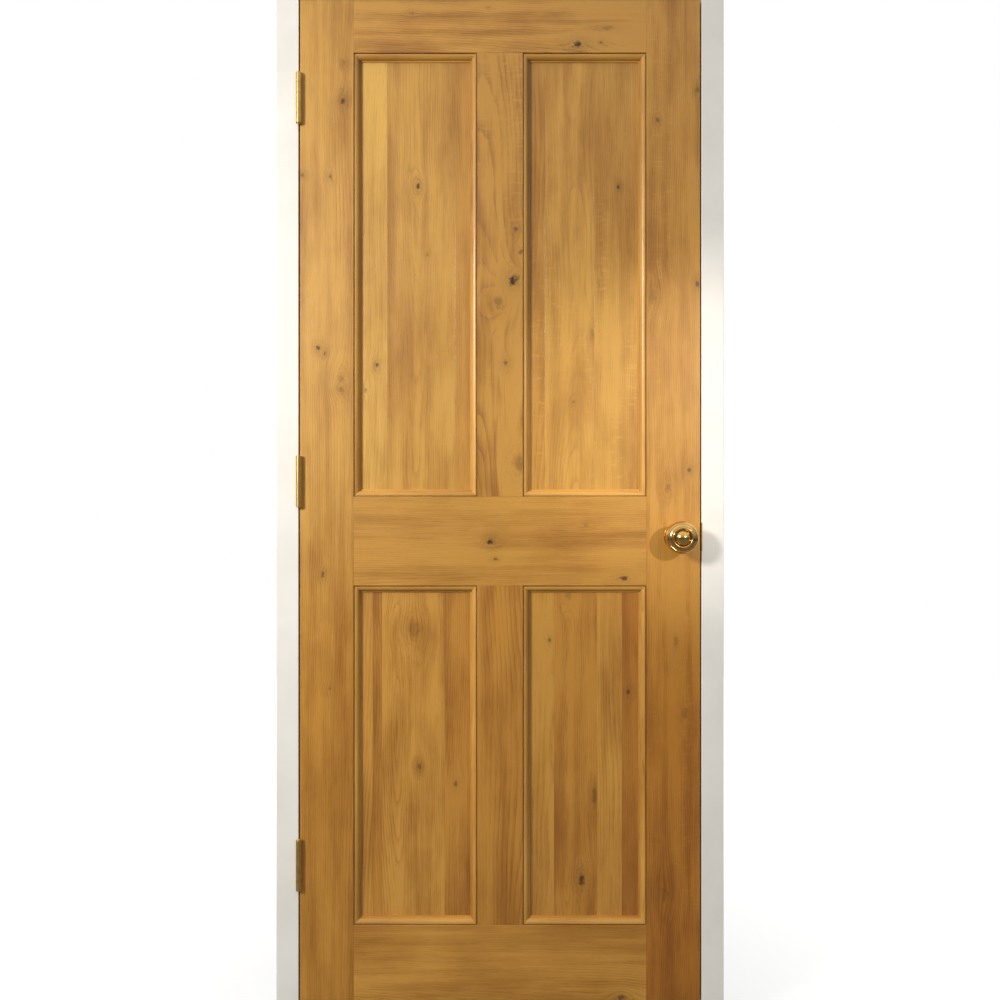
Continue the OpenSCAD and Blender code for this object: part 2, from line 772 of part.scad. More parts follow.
rose_screws(1);  // rear_rose_screws
knob(-1);  // front_knob
knob(1);  // rear_knob
spindle();
follower();
grub_screw(-1);  // front_grub_screw
grub_screw(1);  // rear_grub_screw
latch_bolt();
bolt_tail();
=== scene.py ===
# %% [markdown]
# # A panelled oak front door
#
# The imported model is the frame: every jamb, stile, rail, hinge and latch part is already in its
# true place and size, in metres. This notebook gives those pieces their looks. The leaf's origin
# is on the floor under the middle of the leaf, +Z is up, and the leaf opens towards -Y.

# %% Load the frame
import json
import math

import bmesh
import bpy
from mathutils import Matrix, Vector


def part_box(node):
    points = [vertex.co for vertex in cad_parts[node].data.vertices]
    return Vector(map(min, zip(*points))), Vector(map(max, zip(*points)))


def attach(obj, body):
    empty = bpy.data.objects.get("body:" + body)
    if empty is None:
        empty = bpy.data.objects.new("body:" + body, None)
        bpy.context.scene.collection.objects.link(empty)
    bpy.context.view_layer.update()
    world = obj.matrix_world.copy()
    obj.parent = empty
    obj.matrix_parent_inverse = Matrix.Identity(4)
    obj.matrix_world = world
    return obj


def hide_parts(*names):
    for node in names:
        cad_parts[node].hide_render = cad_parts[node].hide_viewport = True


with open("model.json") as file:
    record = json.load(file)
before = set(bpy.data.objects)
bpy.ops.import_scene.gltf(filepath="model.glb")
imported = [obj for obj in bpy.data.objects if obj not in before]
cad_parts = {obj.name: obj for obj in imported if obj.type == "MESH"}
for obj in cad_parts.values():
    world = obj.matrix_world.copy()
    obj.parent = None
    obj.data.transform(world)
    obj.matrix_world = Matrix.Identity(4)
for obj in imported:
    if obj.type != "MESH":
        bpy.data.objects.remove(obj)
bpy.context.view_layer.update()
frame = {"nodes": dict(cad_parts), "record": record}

nodes = frame["nodes"]

# %% [markdown]
# ## The places that everything is measured from
#
# A door is set out from its stiles. The hinge stile runs the whole height of the leaf, so its box
# gives the leaf's front, back and height, and the front knob's box gives the spindle's place.

# %% Set out the leaf
hinge_stile_low, hinge_stile_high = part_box("hinge_stile")
leaf_front = hinge_stile_low[1]
leaf_back = hinge_stile_high[1]
leaf_middle_z = (hinge_stile_low[2] + hinge_stile_high[2]) / 2
leaf_height = hinge_stile_high[2] - hinge_stile_low[2]
knob_low, knob_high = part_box("front_knob")
spindle_x = (knob_low[0] + knob_high[0]) / 2
spindle_z = (knob_low[2] + knob_high[2]) / 2
MM = 0.001
print(f"leaf {leaf_height:.3f} m high, spindle at {spindle_x:.3f}, {spindle_z:.3f}")

# %% [markdown]
# ## The camera
#
# The door is seen square on, from a little over two metres away, with the leaf filling the view
# from top to bottom. A lens of moderate length gives the front knob its small sideways lean past its rose.
# Moving closer with a shorter lens would make that lean larger than a real room allows.

# %% Stand the camera in front of the leaf
CAMERA_DISTANCE = 2.05
camera_data = bpy.data.cameras.new("door_camera")
camera_data.sensor_width = 36
camera_data.lens = 36 * CAMERA_DISTANCE / leaf_height
camera = bpy.data.objects.new("door_camera", camera_data)
camera.location = (0, leaf_front - CAMERA_DISTANCE, leaf_middle_z)
camera.rotation_euler = (math.radians(90), 0, 0)
bpy.context.scene.collection.objects.link(camera)
bpy.context.scene.camera = camera
bpy.context.scene.view_settings.view_transform = "Standard"
print(f"lens {camera_data.lens:.1f} mm")

# %% [markdown]
# ## A short way to write a material
#
# A material is a small tree of nodes. Two helpers keep its recipe readable: one adds a node and
# fills or links its inputs by name, the other does a sum. A value that is the same all over the
# piece stays on the shader's own socket, so that an exported copy keeps it.

# %% Helpers for nodes
def add(tree, kind, inputs=(), **settings):
    node = tree.nodes.new(kind)
    for name, value in settings.items():
        setattr(node, name, value)
    for key, value in dict(inputs).items():
        socket = node.inputs[key]
        if isinstance(value, bpy.types.NodeSocket):
            tree.links.new(value, socket)
        else:
            socket.default_value = value
    return node


def calc(tree, operation, first, second=0.0, third=0.0):
    return add(tree, "ShaderNodeMath", {0: first, 1: second, 2: third}, operation=operation).outputs[0]


def stretched(tree, place, amounts):
    return add(tree, "ShaderNodeVectorMath", {0: place, 1: amounts}, operation="MULTIPLY").outputs[0]


def clouds(tree, place, scale=1.0, detail=2.0, roughness=0.5):
    return add(tree, "ShaderNodeTexNoise", {"Vector": place, "Scale": scale, "Detail": detail,
                                            "Roughness": roughness})


def between(tree, value, low, high, to_low=0.0, to_high=1.0):
    return add(tree, "ShaderNodeMapRange", {"Value": value, "From Min": low, "From Max": high,
                                            "To Min": to_low, "To Max": to_high}).outputs[0]


def blend_colours(tree, amount, first, second, way="MIX"):
    node = tree.nodes.new("ShaderNodeMix")
    node.data_type = "RGBA"
    node.blend_type = way
    for socket, value in ((node.inputs[0], amount), (node.inputs[6], first), (node.inputs[7], second)):
        if isinstance(value, bpy.types.NodeSocket):
            tree.links.new(value, socket)
        else:
            socket.default_value = value if isinstance(value, float) else (*value[:3], 1.0)
    return node.outputs[2]


def new_material(name):
    material = bpy.data.materials.new(name)
    material.use_nodes = True
    tree = material.node_tree
    tree.nodes.clear()
    shader = add(tree, "ShaderNodeBsdfPrincipled")
    add(tree, "ShaderNodeOutputMaterial", {"Surface": shader.outputs[0]})
    return material, tree, shader


def group_inputs(group, sockets):
    for kind, name in sockets:
        group.interface.new_socket(name, in_out="INPUT", socket_type=kind)
    return group.nodes.new("NodeGroupInput").outputs


print("helpers ready")

# %% [markdown]
# ## Oak: a board cut from a log
#
# A board's figure comes from where it was sawn. The growth rings are cylinders about the heart of
# the tree, so the distance from the heart says which ring a point is in. A board cut near the
# heart's side, on a log that leans, shows arches; one cut far from it shows straight lines.
# The rings wander a little, each is a band of open pores and then denser wood, and broad tones
# run along the board. This is worked out in the round, so faces, edges and ends all agree.
# A picture of wood wrapped round each board could not do that.

# %% The figure of one oak board
RINGS_PER_METRE = 250.0


def make_oak_figure():
    group = bpy.data.node_groups.new("oak_figure", "ShaderNodeTree")
    given = group_inputs(group, [("NodeSocketVector", "Place"), ("NodeSocketVector", "Plank"),
                                 ("NodeSocketFloat", "Heart across"), ("NodeSocketFloat", "Heart depth"),
                                 ("NodeSocketFloat", "Lean")])
    for name in ("Ring", "Pore", "Streak", "Fleck", "Fibre"):
        group.interface.new_socket(name, in_out="OUTPUT", socket_type="NodeSocketFloat")
    seeded = add(group, "ShaderNodeVectorMath", {0: given["Place"], 1: given["Plank"]},
                 operation="ADD").outputs[0]
    # The rings wander: slowly along the log, and a little more quickly on the small scale
    slow = clouds(group, stretched(group, seeded, (3.0, 3.0, 1.3)), detail=1.5).outputs["Color"]
    quick = clouds(group, stretched(group, seeded, (22.0, 22.0, 7.0)), detail=2.0).outputs["Color"]
    wander = add(group, "ShaderNodeVectorMath", {0: slow, 1: (0.05, 0.05, 0.0), 2: given["Place"]},
                 operation="MULTIPLY_ADD").outputs[0]
    wander = add(group, "ShaderNodeVectorMath", {0: quick, 1: (0.005, 0.005, 0.0), 2: wander},
                 operation="MULTIPLY_ADD").outputs[0]
    apart = add(group, "ShaderNodeSeparateXYZ", {0: wander}).outputs
    across = calc(group, "SUBTRACT", apart[0], given["Heart across"])
    leaning = calc(group, "MULTIPLY_ADD", apart[2], given["Lean"], given["Heart depth"])
    depth = calc(group, "SUBTRACT", apart[1], leaning)
    radius = calc(group, "SQRT", calc(group, "ADD", calc(group, "MULTIPLY", across, across),
                                      calc(group, "MULTIPLY", depth, depth)))
    # Each year's ring starts with a line of open pores and pales towards the next; years are uneven
    years = add(group, "ShaderNodeCombineXYZ", {0: calc(group, "MULTIPLY", radius, 60.0), 1: 3.0}).outputs[0]
    uneven = clouds(group, years, detail=2.0).outputs["Fac"]
    years_out = calc(group, "MULTIPLY_ADD", uneven, 1.4, calc(group, "MULTIPLY", radius, RINGS_PER_METRE))
    age = calc(group, "FRACT", years_out)
    early = calc(group, "POWER", calc(group, "SUBTRACT", 1.0, age), 3.0)
    early = calc(group, "MULTIPLY", early, between(group, age, 0.0, 0.08))
    plain = clouds(group, stretched(group, seeded, (11.0, 11.0, 3.0)), detail=2.0).outputs["Fac"]
    ring = calc(group, "MULTIPLY", early, between(group, plain, 0.40, 0.64, 0.22, 1.0))
    fibres = clouds(group, stretched(group, seeded, (480.0, 480.0, 14.0)), detail=3.0,
                    roughness=0.6).outputs["Fac"]
    pores = clouds(group, stretched(group, seeded, (1400.0, 1400.0, 55.0)), detail=1.0).outputs["Fac"]
    open_pores = calc(group, "MULTIPLY", between(group, pores, 0.54, 0.64),
                      calc(group, "MULTIPLY_ADD", early, 0.8, 0.2))
    streaks = clouds(group, stretched(group, seeded, (38.0, 38.0, 1.6)), detail=3.0,
                     roughness=0.55).outputs["Fac"]
    blotches = clouds(group, stretched(group, seeded, (9.0, 9.0, 3.6)), detail=4.0,
                      roughness=0.58).outputs["Fac"]
    streak = calc(group, "ADD", calc(group, "MULTIPLY", streaks, 0.45), calc(group, "MULTIPLY", blotches, 0.55))
    # Rays show as short pale ripples that cross the grain
    rays = clouds(group, stretched(group, seeded, (34.0, 34.0, 210.0)), detail=2.0).outputs["Fac"]
    patches = clouds(group, stretched(group, seeded, (14.0, 14.0, 2.5)), detail=1.0).outputs["Fac"]
    fleck = calc(group, "MULTIPLY", between(group, rays, 0.56, 0.68), between(group, patches, 0.48, 0.62))
    add(group, "NodeGroupOutput", {"Ring": ring, "Pore": open_pores, "Streak": streak, "Fleck": fleck,
                                   "Fibre": fibres})
    return group


oak_figure = make_oak_figure()
print("oak figure:", len(oak_figure.nodes), "nodes")

# %% [markdown]
# ## Knots
#
# A knot is the stump of a branch. It is an oval of dark, hard wood with rings of its own, and the
# grain of the trunk flows round it. One group does both jobs: it draws the grain's coordinates in
# towards the knot, so that the lines part and close again, and it says how dark each point is.
# It is used once for every knot of a board, in a chain.

# %% One knot in a board
def make_oak_knot():
    group = bpy.data.node_groups.new("oak_knot", "ShaderNodeTree")
    given = group_inputs(group, [("NodeSocketVector", "Place"), ("NodeSocketVector", "Centre"),
                                 ("NodeSocketFloat", "Size"), ("NodeSocketFloat", "Length"),
                                 ("NodeSocketFloat", "Strength"), ("NodeSocketFloat", "Before")])
    group.interface.new_socket("Place", in_out="OUTPUT", socket_type="NodeSocketVector")
    group.interface.new_socket("Dark", in_out="OUTPUT", socket_type="NodeSocketFloat")
    offset = add(group, "ShaderNodeVectorMath", {0: given["Place"], 1: given["Centre"]},
                 operation="SUBTRACT").outputs[0]
    apart = add(group, "ShaderNodeSeparateXYZ", {0: offset}).outputs
    ragged = clouds(group, given["Place"], scale=110.0, detail=3.0, roughness=0.65).outputs["Fac"]
    along = calc(group, "DIVIDE", apart[2], given["Length"])
    flat = add(group, "ShaderNodeCombineXYZ", {0: apart[0], 1: 0.0, 2: along}).outputs[0]
    reach = add(group, "ShaderNodeVectorMath", {0: flat}, operation="LENGTH").outputs["Value"]
    reach = calc(group, "DIVIDE", reach, given["Size"])
    rough_reach = calc(group, "ADD", reach, calc(group, "MULTIPLY_ADD", ragged, 2.4, -1.2))
    widened = calc(group, "POWER", calc(group, "MULTIPLY", reach, 0.36), 2.0)
    flow = calc(group, "EXPONENT", calc(group, "MULTIPLY", widened, -1.0))
    pull = calc(group, "MULTIPLY", calc(group, "MULTIPLY", apart[0], flow), -0.7)
    bulge = calc(group, "MULTIPLY", calc(group, "MULTIPLY", given["Size"], flow), 1.1)
    pulled = add(group, "ShaderNodeCombineXYZ", {0: pull, 1: bulge}).outputs[0]
    moved = add(group, "ShaderNodeVectorMath", {0: given["Place"], 1: pulled}, operation="ADD").outputs[0]
    core = between(group, rough_reach, 1.05, 0.35)
    waves = calc(group, "SINE", calc(group, "MULTIPLY", rough_reach, 9.0))
    rings = calc(group, "MULTIPLY_ADD", waves, 0.12, 0.26)
    fading = calc(group, "MULTIPLY", calc(group, "MULTIPLY", reach, reach), -0.20)
    halo = calc(group, "MULTIPLY", calc(group, "EXPONENT", fading), rings)
    dark = calc(group, "MULTIPLY", calc(group, "MAXIMUM", core, halo), given["Strength"])
    add(group, "NodeGroupOutput", {"Place": moved, "Dark": calc(group, "MAXIMUM", dark, given["Before"])})
    return group


oak_knot = make_oak_knot()
print("oak knot:", len(oak_knot.nodes), "nodes")

# %% [markdown]
# ## A lacquered oak board
#
# Each board of the door is its own length of timber, so each gets its own material: its tone, the
# place it was sawn from, and its knots, given in millimetres on the leaf. A Mapping node brings
# the board to its own centre and turns it so that its grain runs along Z. Over the wood lies a
# thin satin lacquer, as the shader's coat.

# %% Make the material of a board
HONEY_OAK = (0.60, 0.32, 0.065)
# Six tones of oak, each a tint of the honey one, from the palest board to the darkest
STRAW, PALE, HONEY, AMBER, RUSSET, BROWN = ((1.05, 1.15, 1.15), (0.90, 0.90, 0.80), (0.85, 0.80, 0.65),
                                            (0.80, 0.75, 0.60), (0.75, 0.65, 0.45), (0.65, 0.50, 0.30))


def oak_board(name, centre, tone=(1.0, 1.0, 1.0), level=False, plank=1.0, heart=(0.2, 0.12), lean=0.0,
              knots=(), flecks=0.0, contrast=1.0, painted_foot_shade=None):
    material, tree, shader = new_material(name)
    seen = add(tree, "ShaderNodeTexCoord").outputs["Object"]
    turn = -90.0 if level else 0.0
    turned = Matrix.Rotation(math.radians(turn), 3, "Y")
    home = -(turned @ Vector(centre))
    place = add(tree, "ShaderNodeMapping", {"Vector": seen, "Location": home,
                                            "Rotation": (0.0, math.radians(turn), 0.0)}).outputs[0]
    dark = None
    for across, up, size, length, strength in knots:
        spot = turned @ Vector((across * MM, 0.0, up * MM)) + home
        knot = add(tree, "ShaderNodeGroup", node_tree=oak_knot)
        tree.links.new(place, knot.inputs["Place"])
        knot.inputs["Centre"].default_value = (spot.x, 0.0, spot.z)
        knot.inputs["Size"].default_value = size * MM
        knot.inputs["Length"].default_value = length
        knot.inputs["Strength"].default_value = strength
        if dark is None:
            knot.inputs["Before"].default_value = 0.0
        else:
            tree.links.new(dark, knot.inputs["Before"])
        place, dark = knot.outputs["Place"], knot.outputs["Dark"]
    figure = add(tree, "ShaderNodeGroup", node_tree=oak_figure)
    tree.links.new(place, figure.inputs["Place"])
    figure.inputs["Plank"].default_value = (plank * 1.7, plank * 3.1, plank * 5.3)
    figure.inputs["Heart across"].default_value = heart[0]
    figure.inputs["Heart depth"].default_value = heart[1]
    figure.inputs["Lean"].default_value = lean
    pale = [c * t * 1.13 for c, t in zip(HONEY_OAK, tone)]
    deep = [c * t * k for c, t, k in zip(HONEY_OAK, tone, (0.64, 0.50, 0.30))]
    lines = calc(tree, "MULTIPLY", figure.outputs["Ring"], 0.55 * contrast)
    lines = calc(tree, "MULTIPLY_ADD", figure.outputs["Pore"], 0.30, lines)
    lines = calc(tree, "ADD", lines, between(tree, figure.outputs["Fibre"], 0.32, 0.68, 0.20, -0.06))
    swing = 0.46 * contrast
    streaks = between(tree, figure.outputs["Streak"], 0.38, 0.62, 0.20 + swing, 0.20 - swing)
    lines = calc(tree, "ADD", lines, streaks)
    lines = calc(tree, "SUBTRACT", lines, calc(tree, "MULTIPLY", figure.outputs["Fleck"], flecks))
    colour = blend_colours(tree, lines, pale, deep)
    # Painted shade: the board is darkened towards the bottom, ragged along the grain, where less light falls low on
    # the door
    if painted_foot_shade:
        height = add(tree, "ShaderNodeSeparateXYZ", {0: seen}).outputs[2]
        drift = calc(tree, "MULTIPLY_ADD", figure.outputs["Streak"], 0.6, height)
        colour = blend_colours(tree, between(tree, drift, 1.40, 1.00), colour,
                               blend_colours(tree, 1.0, colour, painted_foot_shade, "MULTIPLY"))
    if dark is not None:
        colour = blend_colours(tree, dark, colour, (0.045, 0.014, 0.004))
    tree.links.new(colour, shader.inputs["Base Color"])
    height = calc(tree, "SUBTRACT", calc(tree, "MULTIPLY", figure.outputs["Ring"], -0.5), figure.outputs["Pore"])
    bump = add(tree, "ShaderNodeBump", {"Height": height, "Distance": 0.00025, "Strength": 0.5})
    tree.links.new(bump.outputs[0], shader.inputs["Normal"])
    tree.links.new(between(tree, figure.outputs["Fibre"], 0.3, 0.7, 0.36, 0.5), shader.inputs["Roughness"])
    shader.inputs["Coat Weight"].default_value = 0.35
    shader.inputs["Coat Roughness"].default_value = 0.22
    return material


print("boards can be made")

# %% [markdown]
# ## Easing the arrises
#
# A joiner takes the sharp corner off every edge with a stroke of the plane, and where two eased
# edges meet, the joint shows as a fine line. The CAD pieces have their tenons, mortices and hinge
# gains but dead sharp edges. So each timber is copied, its loose triangles are merged and made
# flat faces again, and its long edges are bevelled. Building the boards again from boxes would
# lose the joinery.

# %% Make an eased copy of a timber
LEAF_EASE, BOARD_EASE, FRAME_EASE = 0.5 * MM, 0.35 * MM, 1.2 * MM
SHORTEST_FRAME_ARRIS = 0.2


def finish_piece(bm, name, body, materials, replaced=()):
    mesh = bpy.data.meshes.new(name)
    bm.to_mesh(mesh)
    bm.free()
    smooth = [polygon.use_smooth for polygon in mesh.polygons]
    mesh.set_sharp_from_angle(angle=math.radians(32))
    # That call turns every face smooth, so the true flats are set flat again
    mesh.polygons.foreach_set("use_smooth", smooth)
    piece = bpy.data.objects.new(name, mesh)
    bpy.context.scene.collection.objects.link(piece)
    for material in materials:
        mesh.materials.append(material)
    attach(piece, body)
    if replaced:
        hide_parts(*replaced)
    return piece


def shade_smooth(faces, ease=None):
    # Given an ease, only strips about as narrow as the ease are smooth, and flats stay true flats
    for face in faces:
        longest = max(edge.calc_length() for edge in face.edges)
        face.smooth = ease is None or face.calc_area() < 1.2 * ease * longest


def is_long_arris(edge, shortest):
    return (edge.is_manifold and edge.is_convex and edge.calc_length() > shortest
            and edge.calc_face_angle(0.0) > math.radians(60))


def eased_timber(node, body, material, ease, shortest=0.02):
    bm = bmesh.new()
    bm.from_mesh(nodes[node].data)
    bmesh.ops.remove_doubles(bm, verts=bm.verts, dist=0.00002)
    bmesh.ops.dissolve_limit(bm, angle_limit=math.radians(0.6), verts=bm.verts, edges=bm.edges)
    arrises = [edge for edge in bm.edges if is_long_arris(edge, shortest)]
    bmesh.ops.bevel(bm, geom=arrises, offset=ease, offset_type="OFFSET", affect="EDGES", segments=3,
                    profile=0.5, material=-1, clamp_overlap=True)
    shade_smooth(bm.faces, ease)
    piece = finish_piece(bm, node + "_timber", body, [material], [node])
    print(f"{piece.name}: {len(arrises)} arrises eased by {ease / MM:.1f} mm, {len(piece.data.polygons)} faces")
    return piece


# %% [markdown]
# ## The stiles, rails and muntins
#
# The leaf is joined from seven timbers. The stiles run its whole height, the rails lie between
# them and the muntins stand between the rails. They are rustic oak, so knots are left in.
# Each knot is given as its place across and up the leaf, its size, how long it is drawn out along
# the grain, and how dark it is.

# %% Mill the timbers of the leaf
def centre_of(node):
    low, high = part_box(node)
    return [(a + b) / 2 for a, b in zip(low, high)]


# A stile's foot colour is painted shade, darkening it towards the bottom where less light falls
TIMBERS = {
    "hinge_stile": dict(tone=PALE, painted_foot_shade=(0.85, 0.75, 0.55), plank=1.0, heart=(0.16, 0.10), lean=0.02,
                        knots=[
        (-319, 1876, 6.5, 1.3, 0.85), (-317, 1953, 4, 1.3, 0.35), (-345, 1721, 4.5, 1.3, 0.75),
        (-402, 1725, 4.5, 1.2, 0.6), (-370, 1374, 5, 1.2, 0.85), (-358, 1364, 4, 1.3, 0.7),
        (-323, 1313, 10, 1.6, 0.28), (-323, 1290, 4.5, 1.2, 0.7), (-360, 913, 4.5, 1.3, 0.75),
        (-345, 683, 4, 1.2, 0.5)]),
    "lock_stile": dict(tone=HONEY, painted_foot_shade=(0.80, 0.65, 0.40), plank=2.0, heart=(-0.14, 0.09), lean=-0.03,
                       flecks=0.2, contrast=1.15, knots=[
        (321, 1837, 4.5, 1.4, 0.6), (402, 1898, 6, 1.5, 0.7), (402, 1504, 5, 1.6, 0.7),
        (309, 1480, 11, 1.6, 0.3), (384, 1126, 5, 1.5, 0.65), (341, 1091, 7, 2.0, 0.4),
        (358, 774, 8, 3.0, 0.35), (376, 630, 7, 2.4, 0.35), (335, 270, 9, 2.6, 0.3)]),
    "top_rail": dict(contrast=1.7, tone=HONEY, plank=3.0, heart=(0.11, 0.05), lean=0.05, level=True, knots=[
        (-179, 2053, 4, 1.5, 0.45), (-24, 2065, 3.5, 1.4, 0.4), (159, 1990, 8, 1.7, 1.0),
        (205, 1994, 4, 1.8, 0.6), (222, 2024, 5, 3.5, 0.35)]),
    "lock_rail": dict(tone=AMBER, plank=4.0, heart=(0.15, 0.06), lean=-0.04, level=True, knots=[
        (-18, 980, 7.5, 1.3, 0.95), (-10, 947, 4.5, 1.3, 0.6), (252, 906, 6, 1.5, 0.85),
        (175, 1014, 4, 1.5, 0.3)]),
    "bottom_rail": dict(tone=HONEY, plank=5.0, heart=(0.13, 0.07), lean=0.06, level=True, knots=[
        (248, 55, 7, 1.6, 0.7)]),
    "upper_muntin": dict(contrast=1.7, tone=AMBER, plank=6.0, heart=(-0.02, 0.12), lean=0.03, flecks=0.35, knots=[
        (28, 1512, 11, 1.2, 1.0), (0, 1467, 12, 1.3, 0.45), (12, 1345, 6, 1.4, 0.7),
        (39, 1138, 15, 1.7, 0.42),
        (33, 1616, 5, 1.4, 0.6), (41, 1569, 5, 1.3, 0.6)]),
    "lower_muntin": dict(tone=RUSSET, plank=7.0, heart=(0.12, 0.15), lean=0.0, knots=[]),
}
for node, recipe in TIMBERS.items():
    eased_timber(node, "leaf", oak_board("oak_" + node, centre_of(node), **recipe), LEAF_EASE)

# %% [markdown]
# ## The panels
#
# Each panel is glued up from three or four boards of uneven width and tone, which is what makes
# a solid oak panel look alive. The CAD keeps them as one node, so each board is made here as a
# piece of its own: a cube drawn out to the board's size, with its four long edges eased so that
# the glue joints show as hairlines.

# %% Glue up the panels
def panel_boards(panel, shares, recipes):
    low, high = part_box(panel)
    left = low[0]
    for number, (share, recipe) in enumerate(zip(shares, recipes), 1):
        width = share * (high[0] - low[0])
        size = (width, high[1] - low[1], high[2] - low[2])
        centre = (left + width / 2, (low[1] + high[1]) / 2, (low[2] + high[2]) / 2)
        bm = bmesh.new()
        bmesh.ops.create_cube(bm, size=1.0)
        bmesh.ops.scale(bm, vec=size, verts=bm.verts)
        bmesh.ops.translate(bm, vec=centre, verts=bm.verts)
        long_edges = [edge for edge in bm.edges if edge.calc_length() > 0.9 * size[2]]
        bmesh.ops.bevel(bm, geom=long_edges, offset=BOARD_EASE, offset_type="OFFSET", affect="EDGES",
                        segments=2, profile=0.5, material=-1)
        shade_smooth(bm.faces, BOARD_EASE)
        name = f"{panel}_board_{number}"
        finish_piece(bm, name, "leaf", [oak_board("oak_" + name, centre, **recipe)], [panel])
        left += width
    print(f"{panel}: {len(shares)} boards")


panel_boards("upper_left_panel", (0.28, 0.52, 0.20), [
    dict(tone=STRAW, plank=11.0, heart=(0.10, 0.09), lean=0.02, knots=[
        (-252, 1340, 5.5, 1.3, 0.8), (-276, 1289, 5, 1.5, 0.5)]),
    dict(tone=PALE, plank=12.0, heart=(0.02, 0.05), lean=-0.03, knots=[
        (-167, 1707, 6, 1.4, 0.9), (-185, 1738, 3.5, 1.4, 0.5), (-148, 1567, 3.5, 1.3, 0.45)]),
    dict(tone=AMBER, plank=13.0, heart=(-0.09, 0.08), lean=0.02)])
panel_boards("upper_right_panel", (0.20, 0.38, 0.42), [
    dict(tone=AMBER, plank=14.0, heart=(0.08, 0.10), lean=0.03, flecks=0.4),
    dict(tone=PALE, plank=15.0, heart=(0.04, 0.07), lean=0.02, flecks=0.3, knots=[
        (150, 1266, 4, 1.3, 0.5), (189, 1405, 6, 2.4, 0.3)]),
    dict(tone=PALE, plank=16.0, heart=(-0.10, 0.06), lean=0.01, flecks=0.35, knots=[
        (242, 1705, 4.5, 1.3, 0.85), (201, 1508, 4, 2.0, 0.3)])])
panel_boards("lower_left_panel", (0.17, 0.07, 0.48, 0.28), [
    dict(tone=HONEY, plank=17.0, heart=(0.09, 0.10), lean=0.02),
    dict(tone=RUSSET, plank=18.0, heart=(0.10, 0.10), lean=0.0),
    dict(tone=HONEY, plank=19.0, heart=(0.0, 0.02), lean=0.045, contrast=1.3, knots=[
        (-177, 801, 14, 1.3, 0.32), (-165, 520, 6, 1.4, 0.6)]),
    dict(tone=RUSSET, plank=20.0, heart=(-0.03, 0.04), lean=-0.04, contrast=1.2, knots=[
        (-91, 484, 5, 1.6, 0.55)])])
panel_boards("lower_right_panel", (0.27, 0.33, 0.19, 0.21), [
    dict(tone=AMBER, plank=21.0, heart=(0.06, 0.09), lean=0.02, knots=[(102, 779, 4.5, 1.5, 0.6)]),
    dict(tone=RUSSET, plank=22.0, heart=(0.01, 0.03), lean=-0.03, contrast=1.2, knots=[
        (167, 289, 9, 1.6, 0.85), (193, 459, 6, 4.0, 0.45), (140, 872, 9, 1.6, 0.3)]),
    dict(tone=HONEY, plank=23.0, heart=(0.07, 0.08), lean=0.02),
    dict(tone=BROWN, plank=24.0, heart=(-0.08, 0.07), lean=0.02, knots=[(262, 671, 5, 1.4, 0.8)])])

# %% [markdown]
# ## The planted beads
#
# A bead is a small moulding, planted round each opening on both faces and mitred at its corners.
# Beside the stile it has a narrow quirk, then a quarter round, then a thin fillet that lies on
# the panel. Its section is drawn as a plain outline and extruded, one bevel rounds the shoulder,
# and two cuts at 45 degrees make the mitres. A curve with a bevel object would round the mitres.

# %% Make and mitre the beads
BEAD_WIDTH, QUIRK, FILLET_HEIGHT, QUIRK_FLOOR, BEAD_ROUND = 14.5 * MM, 2 * MM, 2.2 * MM, 8.5 * MM, 9.5 * MM


def bead_length(bm, length, height, material_index):
    ends = length / 2
    outline = [(0, 0), (BEAD_WIDTH, 0), (BEAD_WIDTH, FILLET_HEIGHT), (QUIRK + BEAD_ROUND, FILLET_HEIGHT),
               (QUIRK + BEAD_ROUND, height), (QUIRK, height), (QUIRK, QUIRK_FLOOR), (0, QUIRK_FLOOR)]
    corners = [bm.verts.new((-ends, -up, across)) for across, up in outline]
    section = bm.faces.new(corners)
    made = bmesh.ops.extrude_face_region(bm, geom=[section])["geom"]
    moved = [item for item in made if isinstance(item, bmesh.types.BMVert)]
    bmesh.ops.translate(bm, vec=(length, 0, 0), verts=moved)
    verts = corners + moved
    shoulder = [edge for edge in corners[4].link_edges if edge.other_vert(corners[4]) in moved]
    rounded = bmesh.ops.bevel(bm, geom=shoulder, offset=BEAD_ROUND * 0.985, offset_type="OFFSET",
                              affect="EDGES", segments=8, profile=0.5, material=-1)
    own = set(vert for vert in verts if vert.is_valid) | set(rounded["verts"])
    faces = set(face for vert in own for face in vert.link_faces)
    for side in (-1, 1):
        geometry = list(own) + list(set(edge for vert in own for edge in vert.link_edges)) + list(faces)
        cut = bmesh.ops.bisect_plane(bm, geom=geometry, dist=1e-7, plane_co=(side * ends, 0, 0),
                                     plane_no=(side, 0, 1), clear_outer=True)
        rim = [item for item in cut["geom_cut"] if isinstance(item, bmesh.types.BMEdge)]
        bmesh.ops.contextual_create(bm, geom=rim)
        own = set(item for item in cut["geom"] + cut["geom_cut"]
                  if isinstance(item, bmesh.types.BMVert) and item.is_valid)
        faces = set(face for vert in own for face in vert.link_faces)
    for face in faces:
        face.material_index = material_index
    return list(own)


